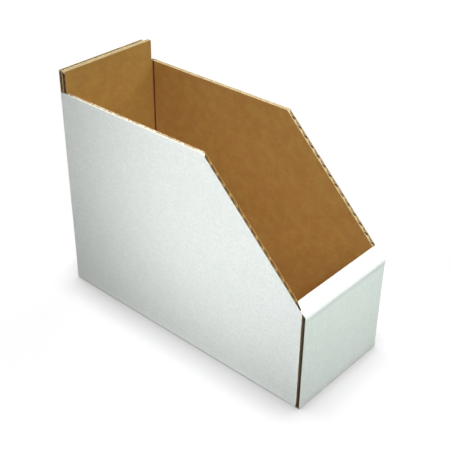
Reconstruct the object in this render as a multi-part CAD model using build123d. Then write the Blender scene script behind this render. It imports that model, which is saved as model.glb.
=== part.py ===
from build123d import *
import os
from math import sin, cos, pi, radians, sqrt

# Open-topped magazine file holder, folded from one sheet of corrugated board.
# White liner outside, kraft liner inside, fluted medium between them.
# Frame: X across the holder, Y from front (-Y) to back (+Y), Z up.
# The origin is the middle of the footprint, on the surface it stands on.
# Every panel between two creases is its own three-layer board, in millimetres.

# ---- holder ----
WIDTH = 120.6            # outside, side to side
DEPTH = 304.8            # outside, front to back
SIDE_HEIGHT = 218.0      # level top edge of both sides
BACK_HEIGHT = 241.0      # top edge of both back flaps
SLOPE_START = 118.8      # from the front face to where the sides start to slope
SLOPE_END_Z = 106.2      # height of a side at its front edge

# ---- board ----
BOARD = 4.0              # thickness of the board
LINER = 0.30             # thickness of each liner
MEDIUM = 0.22            # thickness of the fluted medium
FLUTE_PITCH = 7.39       # distance between flute crests
FLUTE_STEPS = 10         # straight facets along one flute
FLUTE_OVERRUN = 5.0      # flutes run this far past a panel before trimming
GLUE_GAP = 0.02          # between a flute crest and its liner
PLY_GAP = 0.2            # between two panels lying face to face
SIDE_GAP = 0.3           # between an inside panel's end and a side
CREASE_GAP = 0.05        # each mitred edge stands this far off the fold plane

# ---- rolled front ----
FRONT_CREASE_Z = 103.6   # lower crease of the rolled front
ROLL_DEPTH = 12.4        # how far back the rolled front reaches
ROLL_ANGLE = 360.0 / 7   # turn at the lower crease, from upright, in degrees
ROLL_LEFT_TOP_X = -56.5  # left end of the roll strip at its upper crease
ROLL_RIGHT_TOP_X = 60.0  # right end of the roll strip at its upper crease
ROLL_SEAT_GAP = 0.3      # between the roll strip and the sides it lies over
ROLL_SEAT_BACK = 0.4     # how far behind the inner front panel that seat starts
INNER_FRONT_LIFT = 0.5   # between the base and the inner front panel

# ---- back flaps ----
OUTER_FLAP_END_X = 49.0    # free edge of the outer back flap
INNER_FLAP_TOP_X = 53.8    # right end of the inner back flap above the sides
INNER_FLAP_LEFT_X = -59.8  # its left end, which reaches over the left side's top edge
OVERHANG_GAP = 0.5         # between that reach and the edge below it
BACK_FLAP_FOOT_Z = 0.5     # foot of the outer flap; the inner is one board higher
BACK_MITRE_RISE = 0.2      # the mitre of a back flap ends this far above the sides

# ---- tuck flaps ----
FLAP_LENGTH = 40.0       # from the crease
FLAP_TOP_Z = 70.0
FLAP_CORNER = 5.0
FLAP_FOOT_Z = 4.6        # lowest point, at the crease
FLAP_END_RISE = 1.0      # the free edge starts this far above the 45 degree line
FLAP_NOTCH_GAP = 2.0     # a side keeps its square front edge above this

# ---- lock tabs ----
TAB_WIDTH = 25.4
TAB_X = 28.0             # centre of each lock tab, either side of the middle
TAB_GAP = 0.4            # clearance around a tab in its slot
TAB_FOOT_Z = 0.6
TAB_TOP_Z = BOARD + 0.45
TAB_CORNER = 2.0         # cut off both lower corners
SLOT_FOOT_Z = -1.0       # the slot cutter passes right through the base
SLOT_CUT_HEIGHT = 8.0

# ---- places worked out from these ----
HALF = WIDTH / 2
FRONT_Y = -DEPTH / 2
BACK_Y = DEPTH / 2                            # back crease of the left side
INNER_BACK_Y = BACK_Y - BOARD - PLY_GAP       # back crease of the right side
BASE_BACK_Y = INNER_BACK_Y - BOARD - PLY_GAP  # back edge of the base
SLOPE_START_Y = FRONT_Y + SLOPE_START
SIDE_FRONT_Y = FRONT_Y + BOARD + PLY_GAP      # front crease of a side
INNER_FRONT_Y = FRONT_Y + ROLL_DEPTH          # back face of the inner front panel
INSIDE = HALF - BOARD - SIDE_GAP              # half width of an inside panel
ROLL = radians(ROLL_ANGLE)
ROLL_LENGTH = ROLL_DEPTH / sin(ROLL)
ROLL_TOP_Z = FRONT_CREASE_Z + ROLL_LENGTH * cos(ROLL)
SEAT_BACK_Y = INNER_FRONT_Y + ROLL_SEAT_BACK
SLOPE = (SIDE_HEIGHT - SLOPE_END_Z) / (SLOPE_START_Y - SIDE_FRONT_Y)

# ---- directions ----
RIGHT, BACKWARD, UP = Vector(1, 0, 0), Vector(0, 1, 0), Vector(0, 0, 1)
LEFT, FORWARD, DOWN = -RIGHT, -BACKWARD, -UP
ROLL_UP = Vector(0, sin(ROLL), cos(ROLL))        # up the roll strip
ROLL_INWARD = Vector(0, cos(ROLL), -sin(ROLL))   # from its white face inward

# ---- reach of the mitre cutters, past every panel ----
CUT_FAR = 40.0           # away from the crease
CUT_X = (-100, 100)      # along a crease that runs in X
CUT_Y = (-200, 200)      # along a crease that runs in Y
CUT_FOOT_Z = -20         # ends of a crease that runs in Z
CUT_TOP_Z = 280


def prism(points, along):
    """A closed solid: a flat polygon pushed along a vector."""
    face = Face(Wire.make_polygon([Vector(*point) for point in points], close=True))
    solid = Solid.extrude(face, along)
    return solid if solid.volume > 0 else -solid


def mitre(corner, away, axis, span):
    """Cutter for everything beyond a fold plane.

    The crease passes through corner and runs along axis, over span. The plane
    is square to away, which is the panel's heading into the crease plus the
    heading of the next panel out of it, so the plane halves the fold.
    """
    away = away.normalized()
    in_plane = axis.cross(away) * CUT_FAR
    start, end = span
    centre = Vector(*corner) + axis * start - away * CREASE_GAP
    near = [centre - in_plane, centre + in_plane]
    far = [point + away * CUT_FAR for point in reversed(near)]
    return prism(near + far, axis * (end - start))


def slab(frame, outline, depths, cuts):
    """The outline between two depths below the panel's outer face, less the cuts."""
    origin, across, rise, inward = frame
    start, end = depths
    points = [origin + across * p + rise * q + inward * start for p, q in outline]
    solid = prism(points, inward * (end - start))
    for cut in cuts:
        solid = solid.cut(cut)
        if isinstance(solid, list):  # a cut may return a list of solids
            solid = solid[0]
    return solid


def wave(frame, outline, flutes, phase):
    """The fluted medium, before it is trimmed to the panel."""
    origin, across, rise, inward = frame
    spans = [(min(values), max(values)) for values in zip(*outline)]
    wave_part, flute_part = (across, spans[0]), (rise, spans[1])
    if flutes == "across":
        wave_part, flute_part = flute_part, wave_part
    wave_axis, (wave_start, wave_end) = wave_part
    flute_axis, (flute_start, flute_end) = flute_part

    amplitude = BOARD / 2 - LINER - GLUE_GAP - MEDIUM / 2
    first = wave_start - FLUTE_PITCH * (0.5 + phase)
    steps = int((wave_end - first) / FLUTE_PITCH * FLUTE_STEPS) + FLUTE_STEPS // 2
    deeper, shallower = [], []
    for i in range(steps + 1):
        x = first + i * FLUTE_PITCH / FLUTE_STEPS
        turn = 2 * pi * (x - first) / FLUTE_PITCH
        depth = BOARD / 2 + amplitude * cos(turn)
        slope = -amplitude * 2 * pi / FLUTE_PITCH * sin(turn)
        offset = MEDIUM / 2 / sqrt(1 + slope * slope)
        deeper.append((x - slope * offset, depth + offset))
        shallower.append((x + slope * offset, depth - offset))

    start = origin + flute_axis * (flute_start - FLUTE_OVERRUN)
    points = [start + wave_axis * x + inward * depth for x, depth in deeper + shallower[::-1]]
    return prism(points, flute_axis * (flute_end - flute_start + 2 * FLUTE_OVERRUN))


def save(shape, name):
    shape.label = name
    export_step(shape, os.path.join("parts", name + ".step"))


def board(name, frame, outline, flutes, phase, cuts, within=None):
    """Write the three layers of one panel.

    frame is the origin on the outer face, then the directions across, rise and
    inward. The outline holds (across, rise) points. Flutes run along "across"
    or "rise", and phase shifts them by a part of a pitch. The fluting and the
    inner liner keep to the outline called within, where one is given.
    """
    frame = (Vector(*frame[0]), *frame[1:])
    within = within or outline
    clear = LINER + GLUE_GAP / 2
    outer = slab(frame, outline, (0.0, LINER), cuts)
    inner = slab(frame, within, (BOARD - LINER, BOARD), cuts)
    room = slab(frame, within, (clear, BOARD - clear), cuts)
    trimmed = wave(frame, outline, flutes, phase).intersect(room)
    solids = trimmed if isinstance(trimmed, list) else trimmed.solids()
    # loose slivers that a fold plane leaves are dropped
    medium = max(solids, key=lambda solid: solid.volume)
    save(outer, name + "_outer_liner")
    save(medium, name + "_fluting")
    save(inner, name + "_inner_liner")


def slot(hand):
    """Cutter for the slot in the base around one lock tab."""
    x0 = hand * TAB_X - TAB_WIDTH / 2 - TAB_GAP
    x1 = x0 + TAB_WIDTH + 2 * TAB_GAP
    y0 = INNER_FRONT_Y - BOARD - TAB_GAP
    y1 = y0 + BOARD + 2 * TAB_GAP
    corners = [(x0, y0), (x1, y0), (x1, y1), (x0, y1)]
    return prism([(x, y, SLOT_FOOT_Z) for x, y in corners], UP * SLOT_CUT_HEIGHT)


def base():
    board(
        "base", ((0, 0, 0), RIGHT, BACKWARD, UP),
        [(-HALF, FRONT_Y), (HALF, FRONT_Y), (HALF, BASE_BACK_Y), (-HALF, BASE_BACK_Y)],
        flutes="rise", phase=0.1,
        cuts=[
            mitre((-HALF, 0, 0), LEFT + UP, BACKWARD, CUT_Y),
            mitre((HALF, 0, 0), RIGHT + UP, BACKWARD, CUT_Y),
            mitre((0, FRONT_Y, 0), FORWARD + UP, RIGHT, CUT_X),
            slot(-1),
            slot(1),
        ],
    )


def seat_z(y):
    """Height of the seat under the roll strip."""
    under = FRONT_CREASE_Z + (y - FRONT_Y) * cos(ROLL) / sin(ROLL) - BOARD / sin(ROLL)
    return under - ROLL_SEAT_GAP / sin(ROLL)


def side(name, hand, back_y, phase):
    """A side, left for hand -1 and right for hand 1.

    The roll strip lies over the front top corner of both sides. The right side
    is cut down to seat it. On the left only the fluting and the inner liner are
    cut down, and the outer liner stands up beside the end of the strip.
    """
    inward = LEFT * hand
    shared = [
        (SIDE_FRONT_Y, 0), (back_y, 0),
        (back_y, SIDE_HEIGHT), (SLOPE_START_Y, SIDE_HEIGHT),
    ]
    full = shared + [(SIDE_FRONT_Y, SLOPE_END_Z)]
    seated = shared + [
        (SEAT_BACK_Y, SLOPE_END_Z + (SEAT_BACK_Y - SIDE_FRONT_Y) * SLOPE),
        (SEAT_BACK_Y, seat_z(SEAT_BACK_Y)),
        (SIDE_FRONT_Y, seat_z(SIDE_FRONT_Y)),
    ]
    front_span = (CUT_FOOT_Z, FLAP_TOP_Z + FLAP_NOTCH_GAP)
    board(
        name, ((hand * HALF, 0, 0), BACKWARD, UP, inward),
        full if hand < 0 else seated,
        flutes="across", phase=phase, within=seated,
        cuts=[
            mitre((hand * HALF, 0, 0), DOWN + inward, BACKWARD, CUT_Y),
            mitre((hand * HALF, SIDE_FRONT_Y, 0), FORWARD + inward, UP, front_span),
            mitre((hand * HALF, back_y, 0), BACKWARD + inward, UP, (CUT_FOOT_Z, CUT_TOP_Z)),
        ],
    )


def back_flaps():
    """The outer flap folds from the left side, the inner flap from the right."""
    span = (CUT_FOOT_Z, SIDE_HEIGHT + BACK_MITRE_RISE)
    foot = BACK_FLAP_FOOT_Z
    board(
        "outer_back_flap", ((0, BACK_Y, 0), RIGHT, UP, FORWARD),
        [
            (-HALF, foot), (OUTER_FLAP_END_X, foot),
            (OUTER_FLAP_END_X, BACK_HEIGHT), (-HALF, BACK_HEIGHT),
        ],
        flutes="across", phase=0.906,
        cuts=[mitre((-HALF, BACK_Y, 0), LEFT + FORWARD, UP, span)],
    )
    foot = BACK_FLAP_FOOT_Z + BOARD
    overhang_z = SIDE_HEIGHT + OVERHANG_GAP
    board(
        "inner_back_flap", ((0, INNER_BACK_Y, 0), RIGHT, UP, FORWARD),
        [
            (-INSIDE, foot), (HALF, foot),
            (HALF, SIDE_HEIGHT), (INNER_FLAP_TOP_X, SIDE_HEIGHT),
            (INNER_FLAP_TOP_X, BACK_HEIGHT), (INNER_FLAP_LEFT_X, BACK_HEIGHT),
            (INNER_FLAP_LEFT_X, overhang_z), (-INSIDE, overhang_z),
        ],
        flutes="across", phase=0.947,
        cuts=[mitre((HALF, INNER_BACK_Y, 0), RIGHT + FORWARD, UP, span)],
    )


def front():
    """Outer panel, roll strip sloping up and back, inner panel going down."""
    low_crease = (0, FRONT_Y, FRONT_CREASE_Z)
    top_crease = (0, INNER_FRONT_Y, ROLL_TOP_Z)
    low_away = UP + ROLL_UP
    top_away = ROLL_UP + DOWN
    board(
        "front_panel", ((0, FRONT_Y, 0), RIGHT, UP, BACKWARD),
        [(-HALF, 0), (HALF, 0), (HALF, FRONT_CREASE_Z), (-HALF, FRONT_CREASE_Z)],
        flutes="rise", phase=0.0,
        cuts=[
            mitre((0, FRONT_Y, 0), DOWN + BACKWARD, RIGHT, CUT_X),
            mitre(low_crease, low_away, RIGHT, CUT_X),
        ],
    )
    board(
        "front_roll", (low_crease, RIGHT, ROLL_UP, ROLL_INWARD),
        [
            (-HALF, 0), (HALF, 0),
            (ROLL_RIGHT_TOP_X, ROLL_LENGTH), (ROLL_LEFT_TOP_X, ROLL_LENGTH),
        ],
        flutes="rise", phase=0.0,
        cuts=[
            mitre(low_crease, -low_away, RIGHT, CUT_X),
            mitre(top_crease, top_away, RIGHT, CUT_X),
        ],
    )
    foot = BOARD + INNER_FRONT_LIFT
    board(
        "front_inner", ((0, INNER_FRONT_Y, 0), RIGHT, UP, FORWARD),
        [(-INSIDE, foot), (INSIDE, foot), (INSIDE, ROLL_TOP_Z), (-INSIDE, ROLL_TOP_Z)],
        flutes="rise", phase=0.4,
        cuts=[mitre(top_crease, -top_away, RIGHT, CUT_X)],
    )


def tuck_flap(name, hand):
    """A flap from the front crease of a side, between the two front panels."""
    crease = (hand * HALF, SIDE_FRONT_Y, 0)
    shoulder = FLAP_LENGTH - FLAP_CORNER
    board(
        name, (crease, LEFT * hand, UP, BACKWARD),
        [
            (0, FLAP_FOOT_Z),
            (BOARD, FLAP_FOOT_Z),
            (shoulder, FLAP_FOOT_Z + shoulder - BOARD),
            (FLAP_LENGTH, FLAP_FOOT_Z + FLAP_LENGTH - BOARD + FLAP_END_RISE),
            (FLAP_LENGTH, FLAP_TOP_Z - FLAP_CORNER),
            (shoulder, FLAP_TOP_Z),
            (0, FLAP_TOP_Z),
        ],
        flutes="across", phase=0.15,
        cuts=[mitre(crease, RIGHT * hand + BACKWARD, UP, (CUT_FOOT_Z, CUT_TOP_Z))],
    )


def lock_tab(name, hand):
    """A solid tab at the foot of the inner front panel."""
    x0 = hand * TAB_X - TAB_WIDTH / 2
    x1 = hand * TAB_X + TAB_WIDTH / 2
    corner_z = TAB_FOOT_Z + TAB_CORNER
    outline = [
        (x0 + TAB_CORNER, TAB_FOOT_Z), (x1 - TAB_CORNER, TAB_FOOT_Z),
        (x1, corner_z), (x1, TAB_TOP_Z), (x0, TAB_TOP_Z), (x0, corner_z),
    ]
    save(prism([(x, INNER_FRONT_Y, z) for x, z in outline], FORWARD * BOARD), name)


os.makedirs("parts", exist_ok=True)
base()
side("left_side", -1, BACK_Y, phase=0.95)
side("right_side", 1, INNER_BACK_Y, phase=0.45)
back_flaps()
front()
for prefix, hand in (("left", -1), ("right", 1)):
    tuck_flap(prefix + "_tuck_flap", hand)
    lock_tab(prefix + "_lock_tab", hand)
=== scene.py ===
# Magazine file holder folded from one sheet of corrugated board, white outside and kraft inside.
# It stands on z = 0 with its low front towards -Y, its back towards +Y and its left side at -X.
# The tops of both sides slope down to the front. Here it gets its papers, folds, light and camera.
import bpy
import bmesh
import math
import numpy as np
from mathutils import Vector, Matrix


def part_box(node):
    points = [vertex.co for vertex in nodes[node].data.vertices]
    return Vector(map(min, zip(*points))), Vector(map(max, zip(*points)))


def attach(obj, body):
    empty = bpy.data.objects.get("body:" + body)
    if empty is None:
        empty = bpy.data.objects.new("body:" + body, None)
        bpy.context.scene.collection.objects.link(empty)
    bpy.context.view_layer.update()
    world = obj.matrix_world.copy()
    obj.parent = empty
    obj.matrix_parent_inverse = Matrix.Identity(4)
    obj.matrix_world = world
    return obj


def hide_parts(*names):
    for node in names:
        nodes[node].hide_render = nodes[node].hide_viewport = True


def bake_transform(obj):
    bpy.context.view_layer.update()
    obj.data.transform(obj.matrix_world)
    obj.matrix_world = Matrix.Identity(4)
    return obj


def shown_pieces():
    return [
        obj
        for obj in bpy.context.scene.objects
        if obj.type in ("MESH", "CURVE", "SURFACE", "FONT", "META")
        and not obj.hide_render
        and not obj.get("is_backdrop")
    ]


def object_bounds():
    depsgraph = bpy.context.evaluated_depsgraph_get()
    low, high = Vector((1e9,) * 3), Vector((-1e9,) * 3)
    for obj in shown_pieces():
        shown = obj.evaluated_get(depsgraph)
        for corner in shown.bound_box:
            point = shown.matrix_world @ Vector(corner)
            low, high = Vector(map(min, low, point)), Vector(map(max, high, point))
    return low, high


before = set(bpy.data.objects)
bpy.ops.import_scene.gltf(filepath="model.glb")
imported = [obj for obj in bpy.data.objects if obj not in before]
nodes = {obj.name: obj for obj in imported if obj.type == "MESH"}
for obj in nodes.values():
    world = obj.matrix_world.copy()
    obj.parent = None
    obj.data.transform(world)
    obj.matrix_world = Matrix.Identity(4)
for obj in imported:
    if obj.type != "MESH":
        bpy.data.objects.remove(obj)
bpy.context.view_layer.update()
scene = bpy.context.scene
MM = 0.001

# ---- sizes --------------------------------------------------------------------
BOARD = 4.0 * MM
PAPER = 0.3 * MM                       # one liner or medium of a lock tab
LAYER = BOARD + 0.2 * MM               # one board and its clearance
FLUTE_PITCH = 7.39 * MM
HEIGHT = 218.0 * MM
TUCK_TOP_Z = 70.0 * MM
HALF_WIDTH = 60.3 * MM
HALF_INSIDE = 56.0 * MM
FRONT_Y, BACK_Y = -152.4 * MM, 152.4 * MM
SIDE_FRONT_Y = FRONT_Y + LAYER
INNER_BACK_Y = BACK_Y - LAYER
BASE_BACK_Y = INNER_BACK_Y - LAYER

# the narrow panel that leans back over the top of the front
ROLL_ANGLE = math.radians(360.0 / 7)
ROLL_SIN, ROLL_COS = math.sin(ROLL_ANGLE), math.cos(ROLL_ANGLE)
ROLL_RUN = 12.4 * MM
ROLL_FOOT_Z = 103.6 * MM
ROLL_TOP_Z = ROLL_FOOT_Z + ROLL_RUN / ROLL_SIN * ROLL_COS
INNER_FRONT_Y = FRONT_Y + ROLL_RUN

# the sloping cut of the sides: its upper end, outward normal and distance from the origin
SLOPE_FOOT_Z = 106.2 * MM
SLOPE_TOP_Y = -33.6 * MM
SLOPE_RISE = (HEIGHT - SLOPE_FOOT_Z) / (SLOPE_TOP_Y - SIDE_FRONT_Y)
SLOPE_NORMAL = tuple(Vector((0.0, -SLOPE_RISE, 1.0)).normalized())
SLOPE_AT = Vector(SLOPE_NORMAL).dot(Vector((0.0, SLOPE_TOP_Y, HEIGHT)))

# ---- colours ------------------------------------------------------------------
WHITE = (0.800, 0.838, 0.795, 1.0)
WHITE_LOW = (0.755, 0.800, 0.752, 1.0)
WHITE_HIGH = (0.845, 0.865, 0.845, 1.0)
WHITE_MOTTLE = (0.66, 0.70, 0.66, 1.0)
WHITE_GRAIN = (0.62, 0.655, 0.61, 1.0)
# painted shade in the washboard troughs
WHITE_TROUGH_SHADE = (0.60, 0.63, 0.59, 1.0)
KRAFT = (0.500, 0.272, 0.075, 1.0)
KRAFT_DARK = (0.400, 0.205, 0.052, 1.0)
KRAFT_LIGHT = (0.600, 0.375, 0.140, 1.0)
KRAFT_MUSTARD = (0.495, 0.320, 0.045, 1.0)
KRAFT_OCHRE = (0.520, 0.335, 0.075, 1.0)
KRAFT_RED = (0.440, 0.190, 0.055, 1.0)
KRAFT_SPECK = (0.16, 0.08, 0.028, 1.0)
KRAFT_SHIVE = (0.72, 0.52, 0.25, 1.0)
# painted crease shade along the inner back flap's right end
KRAFT_CREASE_SHADE = (0.215, 0.095, 0.030, 1.0)
# painted shadow in the valley of the inner back corner
KRAFT_CREASE_SHADOW = (0.130, 0.042, 0.018, 1.0)
# cut edge colours: the level and sloping cuts differ by painted light from above
EDGE = (0.790, 0.690, 0.370, 1.0)
EDGE_DARK = (0.560, 0.400, 0.180, 1.0)
EDGE_CREAM = (0.860, 0.810, 0.660, 1.0)
EDGE_BROWN = (0.520, 0.345, 0.130, 1.0)
EDGE_YELLOW = (0.900, 0.780, 0.480, 1.0)
# painted highlight on the level white edge
EDGE_WHITE_HIGHLIGHT = (0.940, 0.920, 0.830, 1.0)
EDGE_DOT = (0.42, 0.27, 0.09, 1.0)
# medium colours: the TOP ones are painted light near level cuts, the DEEP one painted shade in the
# flutes, and the panel ones lit and shaded copies
MEDIUM_TOP_LIT = (0.680, 0.560, 0.320, 1.0)
MEDIUM_TOP_LIT_PALE = (0.930, 0.900, 0.740, 1.0)
MEDIUM = (0.460, 0.300, 0.115, 1.0)
MEDIUM_PALE = (0.700, 0.540, 0.280, 1.0)
MEDIUM_OUTER_BACK = (0.260, 0.160, 0.065, 1.0)
MEDIUM_INNER_BACK = (0.260, 0.150, 0.065, 1.0)
MEDIUM_DEEP_SHADE = (0.230, 0.140, 0.062, 1.0)
MEDIUM_DOT = (0.400, 0.250, 0.085, 1.0)
# flute insides: painted shade, darker than the paper, and painted light where paler on the right
# side
CAVITY_SHADE = (0.190, 0.120, 0.062, 1.0)
CAVITY_WARM_SHADE = (0.330, 0.205, 0.085, 1.0)
CAVITY_RIGHT = (0.600, 0.480, 0.270, 1.0)
CAVITY_BACK = (0.360, 0.270, 0.120, 1.0)
# painted shade of the deep flute cavity in the front panel's cut edge
STRIPE_SHADE = (0.215, 0.165, 0.115, 1.0)
STRIPE_DEEP_SHADE = (0.150, 0.115, 0.082, 1.0)


# ---- shader nodes -------------------------------------------------------------
class Tree:
    """A new material and short ways to add nodes to it."""

    def __init__(self, name):
        self.material = bpy.data.materials.new(name)
        self.material.use_nodes = True
        self.nodes = self.material.node_tree.nodes
        self.links = self.material.node_tree.links
        self.nodes.clear()

    def add(self, kind, sockets=(), **settings):
        """A node; sockets maps input names or numbers to values or to other nodes' outputs."""
        node = self.nodes.new(kind)
        for key, value in settings.items():
            setattr(node, key, value)
        for key, value in dict(sockets).items():
            if isinstance(value, bpy.types.NodeSocket):
                self.links.new(value, node.inputs[key])
            else:
                node.inputs[key].default_value = value
        return node

    def math(self, operation, first, second=0.0):
        sockets = {0: first, 1: second, 2: 0.0}
        return self.add("ShaderNodeMath", sockets, operation=operation).outputs[0]

    def plus(self, first, second):
        return self.math("ADD", first, second)

    def minus(self, first, second):
        return self.math("SUBTRACT", first, second)

    def times(self, first, second):
        return self.math("MULTIPLY", first, second)

    def flip(self, value):
        return self.minus(1.0, value)

    def vector(self, operation, first, second=(0, 0, 0)):
        sockets = {0: first, "Scale" if operation == "SCALE" else 1: second}
        node = self.add("ShaderNodeVectorMath", sockets, operation=operation)
        return node.outputs["Value" if operation in ("DOT_PRODUCT", "LENGTH") else "Vector"]

    def dot(self, first, second):
        return self.vector("DOT_PRODUCT", first, second)

    def mix(self, factor, start, end):
        sockets = {0: factor, 6: start, 7: end}
        return self.add("ShaderNodeMix", sockets, data_type="RGBA").outputs[2]

    def noise(self, where, scale, detail, rough):
        sockets = {"Vector": where, "Scale": scale, "Detail": detail, "Roughness": rough}
        return self.add("ShaderNodeTexNoise", sockets).outputs["Fac"]

    def ramp(self, value, low, high):
        """0 below low, 1 above high, eased between."""
        sockets = {"Value": value, "From Min": low, "From Max": high}
        node = self.add("ShaderNodeMapRange", sockets, interpolation_type="SMOOTHSTEP")
        return node.outputs["Result"]

    def tint(self, colour, value, low, high, amount, target):
        """Move colour towards target by up to amount as value goes from low to high."""
        return self.mix(self.times(self.ramp(value, low, high), amount), colour, target)

    def ragged(self, distance, cloud, spread):
        """A distance made uneven by a cloud noise."""
        return self.plus(distance, self.times(self.minus(cloud, 0.5), spread))

    def weigh(self, mask, inside, outside):
        """inside where mask is 1, outside where it is 0."""
        return self.plus(self.times(inside, mask), self.times(outside, self.flip(mask)))

    def place(self):
        """Object position, in metres."""
        return self.add("ShaderNodeTexCoord").outputs["Object"]

    def rest_place(self):
        """Position before folding, as stored on the fold strips."""
        return self.add("ShaderNodeAttribute", attribute_type="GEOMETRY",
                        attribute_name="rest_pos").outputs["Vector"]

    def normal(self):
        return self.add("ShaderNodeTexCoord").outputs["Normal"]

    def surface(self, colour, rough, height, strength, spec, distance=0.15 * MM):
        """A bumped surface; strength and distance set the bump."""
        bump = self.add("ShaderNodeBump",
                        {"Strength": strength, "Distance": distance, "Height": height})
        return self.add("ShaderNodeBsdfPrincipled", {
            "Base Color": colour, "Roughness": rough, "Specular IOR Level": spec,
            "Normal": bump.outputs["Normal"]}).outputs["BSDF"]

    def finish(self, shader):
        self.add("ShaderNodeOutputMaterial", {"Surface": shader})
        return self.material


# ---- papers: each returns colour, roughness, bump height and its cloud noise ----
def kraft_paper(tree, where, mustard=0.0):
    """Cloudy kraft with short fibres, dark specks and pale shives; mustard turns it yellower."""
    cloud = tree.noise(where, scale=150.0, detail=3.0, rough=0.6)
    blotch = tree.noise(where, scale=16.0, detail=2.0, rough=0.5)
    fibre = tree.noise(where, scale=620.0, detail=4.0, rough=0.7)
    fine = tree.noise(where, scale=1500.0, detail=2.0, rough=0.6)
    hue = tree.noise(where, scale=85.0, detail=2.0, rough=0.6)
    colour = tree.mix(tree.ramp(cloud, low=0.25, high=0.75),
                      tree.mix(0.30, KRAFT_DARK, KRAFT), KRAFT)
    colour = tree.mix(mustard, colour, KRAFT_MUSTARD)
    # value, low, high, amount, target
    for stain in ((hue, 0.48, 0.66, 0.34, KRAFT_OCHRE),
                  (tree.flip(hue), 0.50, 0.68, 0.26, KRAFT_RED),
                  (blotch, 0.35, 0.7, 0.10, KRAFT_LIGHT),
                  (fibre, 0.50, 0.78, 0.42, KRAFT_LIGHT),
                  (tree.flip(fibre), 0.52, 0.80, 0.60, KRAFT_DARK),
                  (fine, 0.55, 0.80, 0.40, KRAFT_DARK)):
        colour = tree.tint(colour, *stain)
    cells = tree.add("ShaderNodeTexVoronoi", {"Vector": where, "Scale": 190.0})
    speck = tree.flip(tree.ramp(cells.outputs["Distance"], low=0.06, high=0.13))
    rare = tree.ramp(tree.noise(where, scale=70.0, detail=1.0, rough=0.5), low=0.50, high=0.66)
    colour = tree.mix(tree.times(tree.times(speck, rare), 0.60), colour, KRAFT_SPECK)
    stretched = tree.vector("MULTIPLY", where, (1.0, 1.0, 0.35))
    shive = tree.noise(stretched, scale=480.0, detail=1.0, rough=0.4)
    colour = tree.tint(colour, shive, low=0.72, high=0.80, amount=0.30, target=KRAFT_SHIVE)
    rough = tree.plus(0.62, tree.times(cloud, 0.2))
    return colour, rough, tree.times(fibre, 0.6), cloud


def white_paper(tree, where):
    """Clay-coated white: the brown sheet shows as a faint mottle, with fine grain on top."""
    cloud = tree.noise(where, scale=110.0, detail=3.0, rough=0.62)
    blotch = tree.noise(where, scale=14.0, detail=2.0, rough=0.5)
    grain = tree.noise(where, scale=900.0, detail=3.0, rough=0.65)
    coarse = tree.noise(where, scale=400.0, detail=2.0, rough=0.6)
    colour = tree.mix(tree.ramp(cloud, low=0.28, high=0.72), WHITE_LOW, WHITE)
    # value, low, high, amount, target
    for stain in ((blotch, 0.40, 0.75, 0.20, WHITE_HIGH),
                  (coarse, 0.42, 0.66, 0.42, WHITE_MOTTLE),
                  (grain, 0.48, 0.74, 0.62, WHITE_GRAIN),
                  (tree.flip(grain), 0.50, 0.76, 0.55, WHITE_HIGH)):
        colour = tree.tint(colour, *stain)
    rough = tree.plus(0.46, tree.times(cloud, 0.16))
    return colour, rough, tree.times(grain, 0.35), cloud


PAPER_BUMP = 0.35
WHITE_SPEC, KRAFT_SPEC = 0.40, 0.25


def washboard(tree, where, across, start):
    """-1 to 1, one wave per flute. across is square to the flutes, start a crest along it."""
    distance = tree.minus(tree.dot(where, across), start)
    return tree.math("COSINE", tree.times(distance, 2 * math.pi / FLUTE_PITCH))


def cut_edge(tree, where, white, pale, dotted):
    """Die-cut liner edge, pale where level, browner on slopes and ends, and finely nicked. The
    change from level cuts to slopes is painted light from above, not a change in the paper.
    Returns its colour and bump height."""
    fine = tree.noise(where, scale=1300.0, detail=2.0, rough=0.7)
    nick = tree.noise(where, scale=430.0, detail=1.0, rough=0.5)
    # pale paints the whole edge in its colour as lit from above, a painted light
    if pale:
        base, dark = EDGE_YELLOW, tree.mix(0.45, EDGE_YELLOW, EDGE_DARK)
    else:
        # how far the cut faces up: the edge colour follows it as painted light from above, with a
        # painted highlight on dotted white edges
        level = tree.ramp(tree.dot(tree.normal(), (0.0, 0.0, 1.0)), low=0.80, high=0.95)
        if white and dotted:
            base = tree.mix(level, EDGE_CREAM, EDGE_WHITE_HIGHLIGHT)
            dark = tree.mix(0.20, EDGE_WHITE_HIGHLIGHT, EDGE_DARK)
        elif white:
            base = tree.mix(level, EDGE_CREAM, tree.mix(0.5, EDGE_CREAM, EDGE))
            dark = tree.mix(0.45, EDGE_CREAM, EDGE_DARK)
        else:
            top = EDGE
            if dotted:
                dots = tree.noise(where, scale=520.0, detail=1.0, rough=0.5)
                top = tree.mix(tree.ramp(dots, low=0.44, high=0.56), EDGE_YELLOW, EDGE_DOT)
            base = tree.mix(level, EDGE_BROWN, top)
            dark = tree.mix(level, tree.mix(0.4, EDGE_BROWN, KRAFT_DARK), EDGE_DARK)
    colour = tree.mix(tree.ramp(fine, low=0.3, high=0.7), base, tree.mix(0.4, base, dark))
    colour = tree.tint(colour, nick, low=0.50, high=0.66, amount=0.65, target=dark)
    return colour, fine


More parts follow.
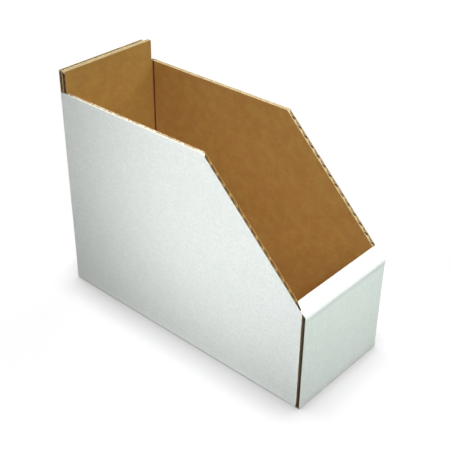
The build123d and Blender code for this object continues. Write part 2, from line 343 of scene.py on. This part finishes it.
def liner_material(name, facing, across, start, white, inside=None, dotted=False,
                   crease_shade_x=None, pale=False, mustard=0.0, rim_highlight=False):
    """A liner of one panel. facing is the outward direction of its good side, inside the colour
    of the side in the flutes, which paints the shade and light in them. dotted speckles a level
    edge next to the kraft and brightens it next to the white with a painted highlight. Kraft
    only: crease_shade_x is the x from which a painted crease shade darkens it, pale gives a light
    cut edge, a painted light from above, and rim paints a pale highlight on the good side along
    the sloping cut."""
    tree = Tree(name)
    where = tree.place()
    face = tree.dot(tree.normal(), facing)
    good = tree.ramp(face, low=0.55, high=0.75)
    back = tree.ramp(tree.times(face, -1.0), low=0.55, high=0.75)
    wave = washboard(tree, where, across, start)
    # the flutes show through: how much darker the troughs are, a painted shade, and how high the
    # crests
    if white:
        top, rough, height, cloud = white_paper(tree, where)
        trough = tree.mix(0.045, top, WHITE_TROUGH_SHADE)
        crest_height, spec = 0.10, WHITE_SPEC
    else:
        top, rough, height, cloud = kraft_paper(tree, where, mustard)
        trough = tree.mix(0.07, top, KRAFT_DARK)
        crest_height, spec = 0.12, KRAFT_SPEC
    top = tree.mix(tree.ramp(wave, low=-1.0, high=1.0), trough, top)
    height = tree.plus(height, tree.times(wave, crest_height))
    # a painted crease shade darkens the kraft beyond this x, along the flap's crease
    if crease_shade_x is not None:
        x = tree.ragged(tree.dot(where, (1.0, 0.0, 0.0)), cloud, spread=0.8 * MM)
        top = tree.tint(top, x, low=crease_shade_x, high=crease_shade_x + 1.0 * MM, amount=0.55,
                        target=KRAFT_CREASE_SHADE)
    # a painted highlight: the good side turns pale along the sloping cut
    if rim_highlight:
        distance = tree.ragged(tree.dot(where, SLOPE_NORMAL), cloud, spread=0.15 * MM)
        top = tree.tint(top, distance, low=SLOPE_AT - 0.75 * MM, high=SLOPE_AT - 0.45 * MM,
                        amount=0.85, target=EDGE_YELLOW)
    edge, edge_height = cut_edge(tree, where, white, pale, dotted)
    # the side inside the flutes takes a painted shade colour
    colour = tree.mix(back, edge, inside or (CAVITY_SHADE if white else CAVITY_WARM_SHADE))
    colour = tree.mix(good, colour, top)
    return tree.finish(tree.surface(
        colour, tree.weigh(good, rough, outside=0.85), tree.weigh(good, height, edge_height),
        strength=PAPER_BUMP, spec=spec))


def medium_material(name, outward, low, high, top=None, warm=MEDIUM, dark=MEDIUM_DEEP_SHADE,
                    turn=(0.30, 0.78), level=MEDIUM_TOP_LIT, dotted=False):
    """Fluted medium of one panel: warm next to the kraft liner (depth low) and dark next to the
    white one (depth high), changing over the turn fractions; the dark is painted shade in the
    flutes. It turns to the level colour, painted light from above, within a few millimetres of
    a level cut at height top."""
    tree = Tree(name)
    where = tree.place()
    cloud = tree.noise(where, scale=120.0, detail=3.0, rough=0.6)
    fine = tree.noise(where, scale=1700.0, detail=3.0, rough=0.7)
    depth = tree.dot(where, outward)

    def deeper(start, end):
        return tree.ramp(depth, low + start * (high - low), low + end * (high - low))

    # painted shade: darker deeper in the flutes, towards the white liner
    colour = tree.mix(deeper(*turn), warm, dark)
    # painted light: paler near a level cut at the top, where the light from above reaches
    if top is not None:
        z = tree.dot(where, (0.0, 0.0, 1.0))
        colour = tree.tint(colour, z, low=top - 3.2 * MM, high=top - 1.4 * MM, amount=1.0,
                           target=level)
    if dotted:
        spots = tree.noise(where, scale=480.0, detail=1.0, rough=0.5)
        dots = tree.times(tree.ramp(spots, low=0.42, high=0.54), tree.flip(deeper(0.25, 0.40)))
        colour = tree.mix(tree.times(dots, 0.85), colour, MEDIUM_DOT)
    soil = 0.4 if dotted else 1.0
    colour = tree.tint(colour, cloud, low=0.3, high=0.7, amount=0.30 * soil, target=dark)
    colour = tree.tint(colour, fine, low=0.45, high=0.8, amount=0.35 * soil, target=dark)
    return tree.finish(tree.surface(colour, 0.85, fine, strength=0.4, spec=0.2))


# ---- panels -------------------------------------------------------------------
# panel: outward direction of its white face, direction square to its flutes
PANELS = {
    "base": ((0, 0, -1), (1, 0, 0)),
    "left_side": ((-1, 0, 0), (0, 0, 1)),
    "right_side": ((1, 0, 0), (0, 0, 1)),
    "outer_back_flap": ((0, 1, 0), (0, 0, 1)),
    "inner_back_flap": ((0, 1, 0), (0, 0, 1)),
    "front_panel": ((0, -1, 0), (1, 0, 0)),
    "front_roll": ((0, -ROLL_COS, ROLL_SIN), (1, 0, 0)),
    "front_inner": ((0, 1, 0), (1, 0, 0)),
    "left_tuck_flap": ((0, -1, 0), (0, 0, 1)),
    "right_tuck_flap": ((0, -1, 0), (0, 0, 1)),
}
# panels whose medium gets painted light near the level top cut
LIT_TOPPED_PANELS = ("left_side", "right_side", "outer_back_flap", "inner_back_flap")
# panel: settings of both liners, of the kraft liner alone, of the medium
# the panels' flute insides, cut edges and media are lit and shaded copies of one paper: painted
# light where paler, painted shade where darker
LOOKS = {
    "left_side": (dict(dotted=True), {}, dict(level=MEDIUM_TOP_LIT_PALE, dotted=True)),
    "right_side": (dict(inside=CAVITY_RIGHT), dict(pale=True, rim_highlight=True),
                   dict(warm=MEDIUM_PALE, turn=(0.45, 0.95))),
    "outer_back_flap": (dict(inside=CAVITY_BACK), dict(pale=True),
                        dict(warm=MEDIUM_OUTER_BACK)),
    "inner_back_flap": ({}, dict(crease_shade_x=54.3 * MM, mustard=0.25),
                        dict(warm=MEDIUM_INNER_BACK)),
    "front_panel": (dict(inside=STRIPE_SHADE), {}, dict(warm=STRIPE_SHADE, dark=STRIPE_DEEP_SHADE)),
}
USUAL_MUSTARD = 0.04


def dress(piece, material):
    piece.data.materials.clear()
    piece.data.materials.append(material)
    for polygon in piece.data.polygons:
        polygon.use_smooth = False


def dress_panel(panel, outward, across):
    lo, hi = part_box(panel + "_fluting")
    start = min(Vector(across).dot(lo), Vector(across).dot(hi))
    fluting = nodes[panel + "_fluting"]
    places = np.empty(len(fluting.data.vertices) * 3, np.float32)
    fluting.data.vertices.foreach_get("co", places)
    depths = places.reshape(-1, 3) @ np.array(outward, np.float32)
    both, kraft, medium = LOOKS.get(panel, ({}, {}, {}))
    dress(nodes[panel + "_outer_liner"],
          liner_material(panel + "_white_liner", outward, across, start, white=True, **both))
    dress(nodes[panel + "_inner_liner"],
          liner_material(panel + "_kraft_liner", tuple(-c for c in outward), across, start,
                         white=False, **both, **{"mustard": USUAL_MUSTARD, **kraft}))
    dress(fluting,
          medium_material(panel + "_medium", outward, float(depths.min()), float(depths.max()),
                          top=hi.z if panel in LIT_TOPPED_PANELS else None, **medium))


for panel, (outward, across) in PANELS.items():
    dress_panel(panel, outward, across)


# ---- lock tabs: the same three layers as the panels -----------------------------
TAB_STEPS = 96
TAB_CHAMFER = 1.2 * MM
TAB_GAP = 0.02 * MM                    # between the medium's crests and the liners


def add_object(name, bm):
    """Turn a bmesh into an object in the scene."""
    mesh = bpy.data.meshes.new(name)
    bm.to_mesh(mesh)
    bm.free()
    made = bpy.data.objects.new(name, mesh)
    scene.collection.objects.link(made)
    return made


def add_sheet(bm, xs, bottom, top, middle, slot):
    """A closed sheet of paper over xs; bottom(x) is its lower edge, middle(x) its y."""
    rows = []
    for x in xs:
        near, far = middle(x) - PAPER / 2, middle(x) + PAPER / 2
        corners = ((near, bottom(x)), (far, bottom(x)), (far, top), (near, top))
        rows.append([bm.verts.new((x, y, z)) for y, z in corners])
    for row, following in zip(rows, rows[1:]):
        for j in range(4):
            k = (j + 1) % 4
            face = bm.faces.new((row[j], row[k], following[k], following[j]))
            face.material_index = slot
    bm.faces.new(rows[0][::-1]).material_index = slot
    bm.faces.new(rows[-1]).material_index = slot


def lock_tab(name):
    lo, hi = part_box(name)
    xs = [lo.x + (hi.x - lo.x) * i / TAB_STEPS for i in range(TAB_STEPS + 1)]
    swing = (hi.y - lo.y) / 2 - PAPER - TAB_GAP - PAPER / 2

    def bottom(x):
        return lo.z + max(0.0, TAB_CHAMFER - (x - lo.x)) + max(0.0, TAB_CHAMFER - (hi.x - x))

    def white_middle(x):
        return hi.y - PAPER / 2

    def kraft_middle(x):
        return lo.y + PAPER / 2

    def medium_middle(x):
        return (lo.y + hi.y) / 2 + swing * math.cos(2 * math.pi * (x - lo.x) / FLUTE_PITCH)

    bm = bmesh.new()
    for slot, middle in enumerate((white_middle, kraft_middle, medium_middle)):
        add_sheet(bm, xs, bottom, hi.z, middle, slot)
    bmesh.ops.recalc_face_normals(bm, faces=bm.faces)
    layers = add_object(name + "_layers", bm)
    materials = layers.data.materials
    for liner, facing, white in (("_white_liner", (0, 1, 0), True),
                                 ("_kraft_liner", (0, -1, 0), False)):
        materials.append(liner_material(name + liner, facing, (1, 0, 0), lo.x, white))
    materials.append(medium_material(name + "_medium", (0, 1, 0), lo.y + PAPER, hi.y - PAPER))
    dress(nodes[name], materials[1])
    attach(layers, "front_inner")
    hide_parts(name)


for name in ("left_lock_tab", "right_lock_tab"):
    lock_tab(name)


# ---- fold papers ----------------------------------------------------------------
def white_fold_material(name):
    tree = Tree(name)
    colour, rough, height, _ = white_paper(tree, tree.rest_place())
    return tree.finish(tree.surface(colour, rough, height, strength=PAPER_BUMP, spec=WHITE_SPEC))


def kraft_fold_material(name, groove=None):
    """groove is the (x, y) of an upright fold whose valley gets a painted dark line, a crease
    shadow.
    """
    tree = Tree(name)
    where = tree.rest_place()
    colour, rough, height, cloud = kraft_paper(tree, where)
    if groove:
        # painted shadow: darker close to the fold's valley
        offset = tree.vector("SUBTRACT", where, (*groove, 0.0))
        flat = tree.vector("MULTIPLY", offset, (1.0, 1.0, 0.0))
        away = tree.ragged(tree.vector("LENGTH", flat), cloud, spread=0.5 * MM)
        fade = tree.times(tree.ramp(away, low=0.80 * MM, high=2.1 * MM), 0.85)
        colour = tree.mix(tree.minus(0.85, fade), colour, KRAFT_CREASE_SHADOW)
    return tree.finish(tree.surface(colour, rough, height, strength=PAPER_BUMP, spec=KRAFT_SPEC))


white_skin = white_fold_material("white_fold")
kraft_skin = kraft_fold_material("kraft_fold")
corner_skin = kraft_fold_material("kraft_corner_fold",
                                  groove=(HALF_WIDTH - BOARD, INNER_BACK_Y - BOARD))

# ---- folds: the liners wrap round every crease ------------------------------------
LOFT_STEP = 6.0 * MM
SHARP_ANGLE = math.radians(40.0)
WING_STEPS, SLIT_STEPS = 8, 6
UNDER = 0.06 * MM                      # how far an outer strip reaches below the faces
PROUD = 0.03 * MM                      # how far its bend stands off the rounded corner
BEAD_AT, BEAD_WIDTH, BEAD_RISE = 1.3 * MM, 0.75 * MM, 1.1 * MM
BEAD_HEIGHT = 0.16 * MM


def ease(x):
    x = min(1.0, max(0.0, x))
    return x * x * (3 - 2 * x)


def wobble(t, seed):
    """A slow, repeatable unevenness along a crease, about -1 to 1."""
    return (math.sin(t * 211.0 + seed) + 0.6 * math.sin(t * 523.0 + 2.1 * seed)
            + 0.4 * math.sin(t * 1190.0 + 3.7 * seed)) / 2.0


def loft(name, section, span, along, material):
    """A closed strip. section(t) gives the upper and the lower points, equally many, at each
    place t of the span along the crease."""
    start, end = span
    count = round((end - start) / LOFT_STEP)
    bm = bmesh.new()
    rows = []
    for i in range(count + 1):
        t = start + (end - start) * i / count
        upper, lower = section(t)
        rows.append([bm.verts.new(point + along * t) for point in upper + lower[::-1]])
    size = len(rows[0])
    for row, following in zip(rows, rows[1:]):
        for j in range(size):
            k = (j + 1) % size
            bm.faces.new((row[j], row[k], following[k], following[j]))
    # the upper and lower points face each other, so the ends are closed with quads
    for row in (rows[0], rows[-1]):
        for j in range(size // 2 - 1):
            bm.faces.new((row[j], row[j + 1], row[size - 2 - j], row[size - 1 - j]))
    bmesh.ops.recalc_face_normals(bm, faces=bm.faces)
    for face in bm.faces:
        face.smooth = True
    for edge in bm.edges:
        if len(edge.link_faces) == 2 and edge.calc_face_angle(0.0) > SHARP_ANGLE:
            edge.smooth = False
    strip = add_object(name, bm)
    mesh = strip.data
    rest = mesh.attributes.new("rest_pos", "FLOAT_VECTOR", "POINT")
    rest.data.foreach_set("vector", [c for vertex in mesh.vertices for c in vertex.co])
    mesh.materials.append(material)
    return strip


def crease(name, corner, faces, along, span, inner_span, radius, seed, inward=None,
           wing=8.0 * MM, inner_wing=4.0 * MM, dip=0.75 * MM, bead_height=BEAD_HEIGHT,
           steps=10, lining_skin=kraft_skin):
    """The outer and inner liner of the fold between two bodies. corner is a point of the outer
    crease line, faces the directions from it along the two outer faces, and inward the
    directions into the two boards, by default those of a square fold."""
    corner = Vector(corner)
    inward = inward or faces[::-1]
    angle = faces[0].angle(faces[1])
    bisector = (faces[0] + faces[1]).normalized()
    sideways = (faces[1] - faces[0]).normalized()
    half_sin = math.sin(angle / 2)
    proud = radius * (1 - half_sin) + PROUD
    tangent = (radius - proud) / math.tan(angle / 2)
    centre = corner + bisector * ((radius - proud) / half_sin)
    axis = (-inward[0]).cross(-inward[1]).normalized()
    deep = BOARD / half_sin
    inner_corner = corner + bisector * deep
    slit_top = deep - 0.10 * MM

    def outer_section(t):
        rise = proud * (1.0 + 0.10 * wobble(t, seed))
        tops, lows = [], []
        for face, into in zip(faces, inward):
            top, low = [], []
            for i in range(WING_STEPS + 1):
                f = i / WING_STEPS
                s = wing + (tangent - wing) * f
                height = -UNDER + (UNDER + rise) * ease(f)
                depth = UNDER * (1.0 + 0.15 * (1 - f) + 0.6 * math.sin(math.pi * f))
                top.append(corner + face * s - into * height)
                low.append(corner + face * max(s, UNDER) + into * depth)
            tops.append(top)
            lows.append(low)
        arc, inner_arc = [], []
        inside = corner + bisector * (UNDER * 1.2 / half_sin)
        for i in range(1, steps):
            f = i / steps
            spoke = -inward[0] * radius
            spoke.rotate(Matrix.Rotation((math.pi - angle) * f, 3, axis))
            arc.append(centre + spoke + bisector * (proud - rise) * 0.6)
            # a small arc of its own, so that no two points coincide
            inner_arc.append(inside + sideways * (2 * f - 1) * UNDER * 0.8)
        return tops[0] + arc + tops[1][::-1], lows[0] + inner_arc + lows[1][::-1]

    def inner_section(t):
        """Along each inner face to the corner, then down a thin slit between the boards."""
        bead_scale = 1.0 + 0.5 * wobble(t, seed + 1.3)
        tops, lows = [], []
        for face, into, side in zip(faces, inward, (-1.0, 1.0)):
            top, low = [], []
            for i in range(WING_STEPS + 1):
                f = i / WING_STEPS
                s = inner_wing * (1 - f) + 0.06 * MM * f
                bead = (bead_height * bead_scale * math.exp(-((s - BEAD_AT) / BEAD_WIDTH) ** 2)
                        * ease(s / BEAD_RISE))
                height = -0.04 * MM + 0.05 * MM * ease(f * 2.0) + bead
                point = inner_corner + face * s
                top.append(point + into * height)
                low.append(point - into * 0.07 * MM)
            for i in range(SLIT_STEPS + 1):
                depth = slit_top - (slit_top - dip) * i / SLIT_STEPS
                point = corner + bisector * depth
                top.append(point + sideways * side * 0.015 * MM)
                low.append(point + sideways * side * 0.045 * MM)
            tops.append(top)
            lows.append(low)
        upper_tip = corner + bisector * (dip - 0.05 * MM)
        lower_tip = corner + bisector * (dip - 0.12 * MM)
        return tops[0] + [upper_tip] + tops[1][::-1], lows[0] + [lower_tip] + lows[1][::-1]

    bend_half = max(0.35 * MM, tangent * 0.9 * half_sin)
    for part, section, reach, skin, half, slot in (
            ("outer", outer_section, span, white_skin, bend_half, "white_liner"),
            ("inner", inner_section, inner_span, lining_skin, 0.010 * MM, "kraft_liner")):
        strip = loft(f"{name}_fold_{part}", section, reach, along, skin)
        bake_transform(strip)


def inset(span, amount):
    return span[0] + amount, span[1] - amount


RIGHT, REAR, UP = Vector((1, 0, 0)), Vector((0, 1, 0)), Vector((0, 0, 1))
UP_ROLL, INTO_ROLL = Vector((0, ROLL_SIN, ROLL_COS)), Vector((0, ROLL_COS, -ROLL_SIN))
FRONT_SPAN = inset((-HALF_WIDTH, HALF_WIDTH), 0.02 * MM)
INSIDE_SPAN = (-HALF_INSIDE, HALF_INSIDE)
TUCK_SPAN = (4.6 * MM, TUCK_TOP_Z)
BACK_LEFT_SPAN, BACK_RIGHT_SPAN = (0.5 * MM, HEIGHT), (4.5 * MM, HEIGHT)
UPRIGHT_INSET = 0.1 * MM               # an upright lining stops short of its outer strip
BEND = 1.1 * MM                        # usual radius of a fold

for side, x, across, seed, bead_height in (("left", -HALF_WIDTH, RIGHT, 0.3, BEAD_HEIGHT),
                                           ("right", HALF_WIDTH, -RIGHT, 1.9, 0.02 * MM)):
    crease("base_" + side, (x, 0, 0), (across, UP), REAR,
           span=(SIDE_FRONT_Y, BASE_BACK_Y),
           inner_span=(SIDE_FRONT_Y + LAYER, BASE_BACK_Y - 0.2 * MM),
           radius=BEND, seed=seed, bead_height=bead_height)
crease("base_front", (0, FRONT_Y, 0), (REAR, UP), RIGHT,
       span=FRONT_SPAN, inner_span=INSIDE_SPAN, radius=BEND, seed=2.7, inner_wing=3.6 * MM)
crease("front_roll_low", (0, FRONT_Y, ROLL_FOOT_Z),
       (-UP, UP_ROLL), RIGHT, inward=(REAR, INTO_ROLL),
       span=FRONT_SPAN, inner_span=INSIDE_SPAN, radius=4.2 * MM, seed=3.1, inner_wing=3.0 * MM)
crease("front_roll_top", (0, INNER_FRONT_Y, ROLL_TOP_Z),
       (-UP_ROLL, -UP), RIGHT, inward=(INTO_ROLL, -REAR),
       span=INSIDE_SPAN, inner_span=INSIDE_SPAN, radius=0.55 * MM, seed=4.4,
       wing=5.0 * MM, inner_wing=2.5 * MM, dip=1.2 * MM)
crease("back_left", (-HALF_WIDTH, BACK_Y, 0),
       (-REAR, RIGHT), UP, span=BACK_LEFT_SPAN,
       inner_span=inset(BACK_LEFT_SPAN, UPRIGHT_INSET), radius=BEND, seed=5.2)
crease("back_right", (HALF_WIDTH, INNER_BACK_Y, 0),
       (-REAR, -RIGHT), UP, span=BACK_RIGHT_SPAN,
       inner_span=inset(BACK_RIGHT_SPAN, UPRIGHT_INSET), radius=BEND, seed=6.0,
       dip=4.9 * MM, steps=16, lining_skin=corner_skin)
for side, x, across, seed in (("left", -HALF_WIDTH, RIGHT, 7.7),
                              ("right", HALF_WIDTH, -RIGHT, 8.9)):
    crease("front_" + side, (x, SIDE_FRONT_Y, 0),
           (REAR, across), UP, span=TUCK_SPAN, inner_span=inset(TUCK_SPAN, UPRIGHT_INSET),
           radius=1.0 * MM, seed=seed, inner_wing=3.6 * MM)


# ---- floor ----------------------------------------------------------------------
def floor_material():
    """Near white to the camera, grey to the bounced light, darker where the holder is close."""
    tree = Tree("pale_floor")
    soft = tree.noise(tree.place(), scale=3.0, detail=2.0, rough=0.5)
    seen = tree.add("ShaderNodeLightPath").outputs["Is Camera Ray"]
    nearby = tree.add("ShaderNodeAmbientOcclusion", {"Distance": 0.036}, samples=16)
    # the contact shadow is weaker in front of the holder
    ahead = tree.ramp(tree.dot(tree.place(), (0.0, -1.0, 0.0)), low=0.150, high=0.164)
    depth = tree.minus(0.69, tree.times(ahead, 0.24))
    contact = tree.flip(tree.times(tree.flip(nearby.outputs["AO"]), depth))
    white = tree.mix(soft, (0.975, 0.975, 0.975, 1.0), (0.985, 0.985, 0.985, 1.0))
    pale = tree.vector("SCALE", white, contact)
    lit = tree.surface(tree.mix(seen, (0.30, 0.30, 0.30, 1.0), pale), 0.9, soft,
                       strength=0.0, spec=0.0, distance=0.2 * MM)
    # past the light on the object the floor runs out to an even white, as a paper sweep does
    sweep = tree.add("ShaderNodeEmission",
                     {"Color": tree.vector("SCALE", (1.0, 1.0, 1.0), contact)})
    away = tree.ramp(tree.vector("LENGTH", tree.place()), low=0.08, high=0.28)
    mixed = tree.add("ShaderNodeMixShader",
                     {0: tree.times(seen, away), 1: lit, 2: sweep.outputs[0]})
    return tree.finish(mixed.outputs[0])


FLOOR_HALF = 6.0
FLOOR_GAP = 0.05 * MM
bm = bmesh.new()
bmesh.ops.create_grid(bm, x_segments=2, y_segments=2, size=FLOOR_HALF)
floor = add_object("floor", bm)
floor.location = (0, 0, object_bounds()[0].z - FLOOR_GAP)
floor.data.materials.append(floor_material())
floor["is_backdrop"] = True

# ---- world: white to the camera, a weak fill to everything else --------------------
WORLD_FILL = 0.18
world = bpy.data.worlds.new("studio")
scene.world = world
world.use_nodes = True
world_nodes, world_links = world.node_tree.nodes, world.node_tree.links
background = world_nodes["Background"]
background.inputs["Color"].default_value = (1.0, 1.0, 1.0, 1.0)
path = world_nodes.new("ShaderNodeLightPath")
fill = world_nodes.new("ShaderNodeMapRange")
fill.inputs["To Min"].default_value = WORLD_FILL
fill.inputs["To Max"].default_value = 1.0
world_links.new(path.outputs["Is Camera Ray"], fill.inputs["Value"])
world_links.new(fill.outputs["Result"], background.inputs["Strength"])


# ---- lights ---------------------------------------------------------------------
def add_facing(name, data, where, direction):
    """A light or camera at where, looking in a direction."""
    made = bpy.data.objects.new(name, data)
    scene.collection.objects.link(made)
    made.location = where
    made.rotation_mode = "QUATERNION"
    made.rotation_quaternion = direction.to_track_quat("-Z", "Y")
    return made


def softbox(name, where, size, power, aim=(0, 0, 0.1)):
    light = bpy.data.lights.new(name, "AREA")
    light.shape = "RECTANGLE"
    light.size = light.size_y = size
    light.energy = power
    add_facing(name, light, where, Vector(aim) - Vector(where))


def soft_spot(name, where, aim, degrees, power, colour=(1, 1, 1), only=None):
    """A spot with soft edges; only is the collection it lights, or everything."""
    light = bpy.data.lights.new(name, "SPOT")
    light.spot_size = math.radians(degrees)
    light.spot_blend = 1.0
    light.shadow_soft_size = 0.2
    light.energy = power
    light.color = colour
    made = add_facing(name, light, where, Vector(aim) - Vector(where))
    if only:
        made.light_linking.receiver_collection = only


def pieces_named(name, starts):
    """A collection of the pieces whose names begin with one of starts."""
    collection = bpy.data.collections.new(name)
    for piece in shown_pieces():
        if piece.name.startswith(starts):
            collection.objects.link(piece)
    return collection


FRONT_SPOT_AT = (-0.5, -1.5, 0.9)
softbox("overhead", (0, 0, 1.9), size=1.8, power=13.4)
softbox("right_high", (1.3, 0, 1.5), size=1.2, power=8.0)
softbox("back_high", (0, 1.4, 1.5), size=1.2, power=16.0)
softbox("front_right", (0.9, -1.2, 1.0), size=1.0, power=5.8)
softbox("close_front", (-0.55, -0.62, 0.95), size=0.5, power=2.6, aim=(0, -0.1, 0.12))
soft_spot("front_spot", FRONT_SPOT_AT, aim=(0, -0.152, 0.150), degrees=11, power=56.0)
# these two graze the big left panel only, so that its edge throws no hard band into the bin
left_panel = pieces_named("left_panel", ("left_side", "left_tuck", "outer_back", "base_left",
                                         "back_left", "front_left"))
soft_spot("side_spot", (-1.3, -0.30, 0.30), aim=(-0.06, -0.095, 0.190), degrees=12,
          power=110.0, colour=(0.96, 0.98, 1.06), only=left_panel)
soft_spot("side_top_spot", (-1.3, -0.05, 0.35), aim=(-0.06, 0.02, 0.215), degrees=10,
          power=46.0, only=left_panel)
# and this one the front only, so that its faint green doesn't reach the floor
front_side = pieces_named("front_side", ("front_",))
soft_spot("front_green_spot", FRONT_SPOT_AT, aim=(0, -0.152, 0.190), degrees=11,
          power=84.0, colour=(0.66, 1.0, 0.92), only=front_side)
soft_spot("bin_spot", (-0.9, -0.9, 1.2), aim=(0.06, 0.0, 0.10), degrees=12,
          power=106.0, colour=(1.0, 0.98, 0.97))

# ---- camera: in front, to the left and above ----------------------------------------
AZIMUTH, ELEVATION = math.radians(-47.38), math.radians(33.03)
towards_camera = Vector((math.sin(AZIMUTH) * math.cos(ELEVATION),
                         -math.cos(AZIMUTH) * math.cos(ELEVATION), math.sin(ELEVATION)))
lens = bpy.data.cameras.new("camera")
lens.sensor_width = 36.0
lens.lens = 72.16
lens.shift_x = 0.035555556
lens.shift_y = 0.022222222
lens.clip_start = 0.01
lens.clip_end = 50.0
scene.camera = add_facing("camera", lens, (-0.5554, -0.4974, 0.5767), -towards_camera)

scene.view_settings.view_transform = "Standard"
scene.view_settings.look = "None"
